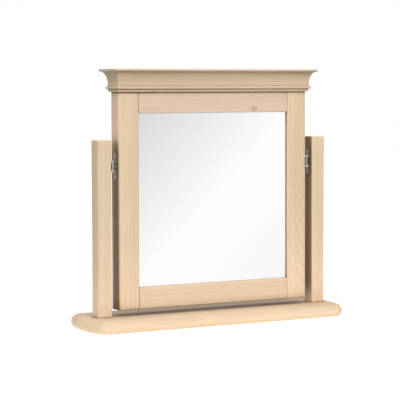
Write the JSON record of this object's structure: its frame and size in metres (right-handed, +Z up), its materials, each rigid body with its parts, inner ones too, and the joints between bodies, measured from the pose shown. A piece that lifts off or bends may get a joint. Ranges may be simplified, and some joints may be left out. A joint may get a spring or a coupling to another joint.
{
  "type": "tilting dressing mirror",
  "caption": "Rectangular mirror in a wooden frame with a moulded cornice, tilting between two square posts on a rounded base board.",
  "frame": {"origin": "centre of the base's footprint, on the plane of the table it stands on", "axes": "+X to the viewer's right along the base, -Y towards the viewer in front of the glass, +Z up"},
  "size_m": [0.631, 0.1686, 0.557],
  "materials": {
    "oak": "pale washed oak, satin lacquer",
    "dowel_beech": "plain beech",
    "bead_wood": "unfinished softwood",
    "panel_board": "thin hardboard",
    "mirror": "silvered plain glass",
    "plated_steel": "plated, satin",
    "zinc_screw": "zinc plated",
    "spring_steel": "bright spring steel",
    "pad_rubber": "soft, matte"
  },
  "bodies": {
    "stand": {"base_board": "oak", "base_pads": "pad_rubber", "left_post": "oak", "right_post": "oak", "post_screws": "zinc_screw", "left_post_plate": "plated_steel", "right_post_plate": "plated_steel", "post_plate_screws": "zinc_screw"},
    "mirror_frame": {"left_stile": "oak", "right_stile": "oak", "top_rail": "oak", "bottom_rail": "oak", "rail_dowels": "dowel_beech", "cornice_core": "oak", "cornice_front": "oak", "cornice_back": "oak", "cornice_left": "oak", "cornice_right": "oak", "cornice_dowels": "dowel_beech", "mirror_glass": "mirror", "top_bead": "bead_wood", "bottom_bead": "bead_wood", "left_bead": "bead_wood", "right_bead": "bead_wood", "back_panel": "panel_board", "back_panel_screws": "zinc_screw", "left_frame_plate": "plated_steel", "right_frame_plate": "plated_steel", "frame_plate_screws": "zinc_screw", "left_pivot_stud": "plated_steel", "right_pivot_stud": "plated_steel", "left_spring_washer": "spring_steel", "right_spring_washer": "spring_steel"}
  },
  "joints": [
    {"name": "mirror_tilt", "type": "hinge", "parent": "stand", "child": "mirror_frame", "pos_m": [0, -0.011, 0.3504], "axis": [1, 0, 0], "range_deg": [-50, 50]}
  ]
}
